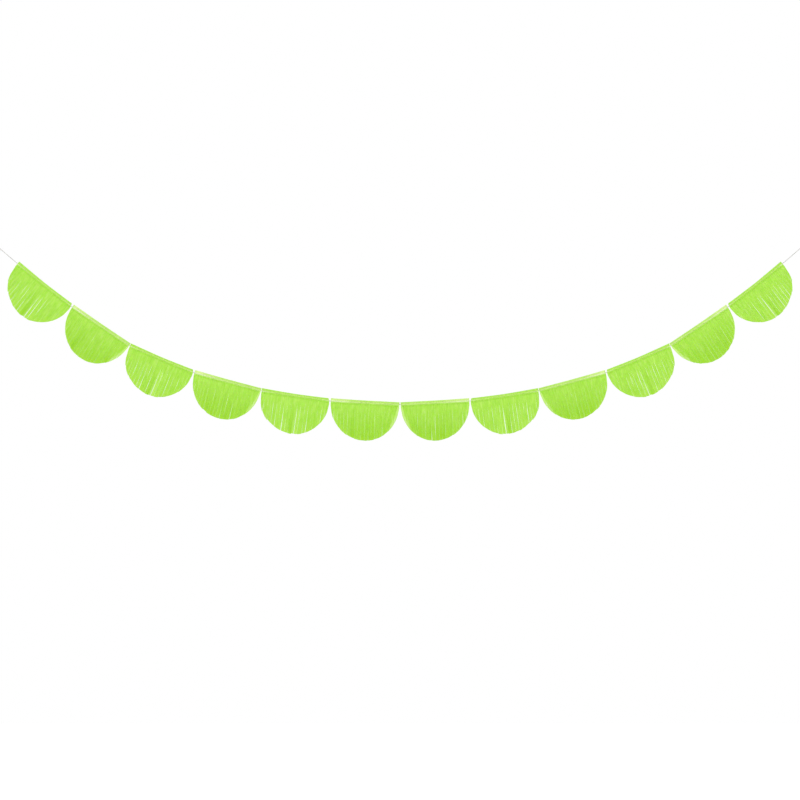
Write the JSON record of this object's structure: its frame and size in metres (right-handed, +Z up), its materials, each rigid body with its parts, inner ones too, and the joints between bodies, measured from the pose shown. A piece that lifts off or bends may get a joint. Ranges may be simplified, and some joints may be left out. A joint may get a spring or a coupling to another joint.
{
  "type": "scalloped paper fringe garland",
  "caption": "String of half-round folded tissue paper scallops with cut fringe, hung in a sagging line by a tied loop at each end; each scallop swings on the string.",
  "frame": {"origin": "centre of the left hanging loop's eye, where the left hook holds it", "axes": "+X from the left hook to the right hook, +Y away from the viewer, +Z up; the garland hangs in the plane Y = 0"},
  "size_m": [3.0083, 0.0088, 0.7404],
  "materials": {
    "tissue": "thin lime green tissue, soft matt, light shows through",
    "glue": "dried clear glue soaked into the tissue",
    "string": "white twisted cotton"
  },
  "bodies": {
    "string": {"threaded_string": "string", "left_tail": "string", "right_tail": "string", "left_knot": "string", "right_knot": "string", "left_loop": "string", "right_loop": "string"},
    "scallop_01": {"scallop_01": "tissue", "glue_strip_01": "glue"},
    "scallop_02": {"scallop_02": "tissue", "glue_strip_02": "glue"},
    "scallop_03": {"scallop_03": "tissue", "glue_strip_03": "glue"},
    "scallop_04": {"scallop_04": "tissue", "glue_strip_04": "glue"},
    "scallop_05": {"scallop_05": "tissue", "glue_strip_05": "glue"},
    "scallop_06": {"scallop_06": "tissue", "glue_strip_06": "glue"},
    "scallop_07": {"scallop_07": "tissue", "glue_strip_07": "glue"},
    "scallop_08": {"scallop_08": "tissue", "glue_strip_08": "glue"},
    "scallop_09": {"scallop_09": "tissue", "glue_strip_09": "glue"},
    "scallop_10": {"scallop_10": "tissue", "glue_strip_10": "glue"},
    "scallop_11": {"scallop_11": "tissue", "glue_strip_11": "glue"},
    "scallop_12": {"scallop_12": "tissue", "glue_strip_12": "glue"}
  },
  "joints": [
    {"name": "scallop_01_swing", "type": "hinge", "parent": "string", "child": "scallop_01", "pos_m": [0.20066, 0, -0.16526], "axis": [0.7837, 0, -0.6211], "range_deg": [-90, 90]},
    {"name": "scallop_02_swing", "type": "hinge", "parent": "string", "child": "scallop_02", "pos_m": [0.40548, 0, -0.31517], "axis": [0.829, 0, -0.5592], "range_deg": [-90, 90]},
    {"name": "scallop_03_swing", "type": "hinge", "parent": "string", "child": "scallop_03", "pos_m": [0.62784, 0, -0.4354], "axis": [0.9219, 0, -0.3875], "range_deg": [-90, 90]},
    {"name": "scallop_04_swing", "type": "hinge", "parent": "string", "child": "scallop_04", "pos_m": [0.86765, 0, -0.51727], "axis": [0.9664, 0, -0.2571], "range_deg": [-90, 90]},
    {"name": "scallop_05_swing", "type": "hinge", "parent": "string", "child": "scallop_05", "pos_m": [1.11599, 0, -0.5687], "axis": [0.989, 0, -0.1478], "range_deg": [-90, 90]},
    {"name": "scallop_06_swing", "type": "hinge", "parent": "string", "child": "scallop_06", "pos_m": [1.36842, 0, -0.59411], "axis": [0.9986, 0, -0.0523], "range_deg": [-90, 90]},
    {"name": "scallop_07_swing", "type": "hinge", "parent": "string", "child": "scallop_07", "pos_m": [1.62207, 0, -0.59411], "axis": [0.9986, 0, 0.0523], "range_deg": [-90, 90]},
    {"name": "scallop_08_swing", "type": "hinge", "parent": "string", "child": "scallop_08", "pos_m": [1.8745, 0, -0.5687], "axis": [0.989, 0, 0.1478], "range_deg": [-90, 90]},
    {"name": "scallop_09_swing", "type": "hinge", "parent": "string", "child": "scallop_09", "pos_m": [2.12283, 0, -0.51727], "axis": [0.9664, 0, 0.2571], "range_deg": [-90, 90]},
    {"name": "scallop_10_swing", "type": "hinge", "parent": "string", "child": "scallop_10", "pos_m": [2.36264, 0, -0.4354], "axis": [0.9219, 0, 0.3875], "range_deg": [-90, 90]},
    {"name": "scallop_11_swing", "type": "hinge", "parent": "string", "child": "scallop_11", "pos_m": [2.58501, 0, -0.31517], "axis": [0.829, 0, 0.5592], "range_deg": [-90, 90]},
    {"name": "scallop_12_swing", "type": "hinge", "parent": "string", "child": "scallop_12", "pos_m": [2.78982, 0, -0.16526], "axis": [0.7837, 0, 0.6211], "range_deg": [-90, 90]}
  ]
}
